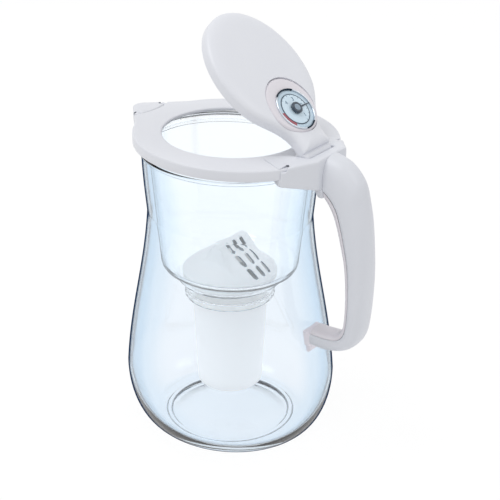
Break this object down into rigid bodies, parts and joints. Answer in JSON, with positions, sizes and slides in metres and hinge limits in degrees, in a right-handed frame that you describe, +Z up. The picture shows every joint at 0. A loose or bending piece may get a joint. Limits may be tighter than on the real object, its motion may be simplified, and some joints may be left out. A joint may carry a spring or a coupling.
{
  "type": "water filter pitcher",
  "caption": "Clear filter pitcher: oval jug, hanging funnel with a lift-out cartridge, cover with pouring flap, side handle and a domed flip lid with a dial counter.",
  "frame": {"origin": "centre of the foot ring's face, on the table", "axes": "+Z up, spout towards -X, handle towards +X, mirrored about the XZ plane apart from the dial"},
  "size_m": [0.2462, 0.1736, 0.3693],
  "materials": {
    "clear_jug": "clear moulded, polished",
    "clear_funnel": "clear moulded, polished",
    "cartridge_white": "satin moulded",
    "cap_white": "satin moulded",
    "seal_rubber": "soft",
    "filter_media": "granules",
    "screen_white": "fine mesh",
    "cover_white": "polished moulded",
    "handle_white": "polished moulded",
    "inner_white": "satin moulded",
    "steel": "drawn",
    "foot_grey": "satin moulded",
    "lid_white": "polished moulded",
    "liner_white": "satin moulded",
    "bezel_chrome": "polished plating",
    "dial_face": "printed disc",
    "dial_red": "printed inlay",
    "pointer_dark": "moulded",
    "knob_dark": "moulded",
    "acetal": "moulded"
  },
  "bodies": {
    "jug_unit": {"jug": "clear_jug"},
    "funnel_unit": {"funnel": "clear_funnel", "retaining_ring": "clear_funnel"},
    "cartridge_unit": {"cartridge_cup": "cartridge_white", "cartridge_cap": "cap_white", "cartridge_seal": "seal_rubber", "filter_media": "filter_media", "media_screens": "screen_white"},
    "cover_unit": {"cover_ring": "cover_white", "handle_hood": "handle_white", "handle_shell": "handle_white", "handle_inner_cover": "inner_white", "handle_screws": "steel", "handle_foot_pad": "foot_grey", "lid_hinge_pin": "steel"},
    "flap_unit": {"spout_flap": "cover_white"},
    "lid_unit": {"lid_shell": "lid_white", "lid_liner": "liner_white", "counter_housing": "lid_white", "counter_bezel": "bezel_chrome", "counter_face": "dial_face", "counter_red_sector": "dial_red", "pawl_pin": "steel"},
    "counter_rotor": {"counter_pointer": "pointer_dark", "counter_knob": "knob_dark", "counter_shaft": "steel", "ratchet_wheel": "acetal"},
    "pawl_unit": {"ratchet_pawl": "acetal"}
  },
  "joints": [
    {"name": "funnel_lift", "type": "slide", "parent": "jug_unit", "child": "funnel_unit", "axis": [0, 0, 1], "range_m": [0, 0.23]},
    {"name": "cartridge_lift", "type": "slide", "parent": "funnel_unit", "child": "cartridge_unit", "axis": [0, 0, 1], "range_m": [0, 0.09]},
    {"name": "cover_lift", "type": "slide", "parent": "funnel_unit", "child": "cover_unit", "axis": [0, 0, 1], "range_m": [0, 0.06]},
    {"name": "flap_hinge", "type": "hinge", "parent": "cover_unit", "child": "flap_unit", "pos_m": [-0.088, 0, 0.271], "axis": [0, 1, 0], "range_deg": [0, 60]},
    {"name": "lid_hinge", "type": "hinge", "parent": "cover_unit", "child": "lid_unit", "pos_m": [0.0835, 0, 0.273], "axis": [0, 1, 0], "range_deg": [-43, 22]},
    {"name": "counter_turn", "type": "hinge", "parent": "lid_unit", "child": "counter_rotor", "pos_m": [0.06541, 0, 0.30683], "axis": [0.682, 0, 0.7314], "continuous": true},
    {"name": "pawl_swing", "type": "hinge", "parent": "lid_unit", "child": "pawl_unit", "pos_m": [0.05171, 0, 0.31003], "axis": [0.682, 0, 0.7314], "range_deg": [0, 8]}
  ]
}
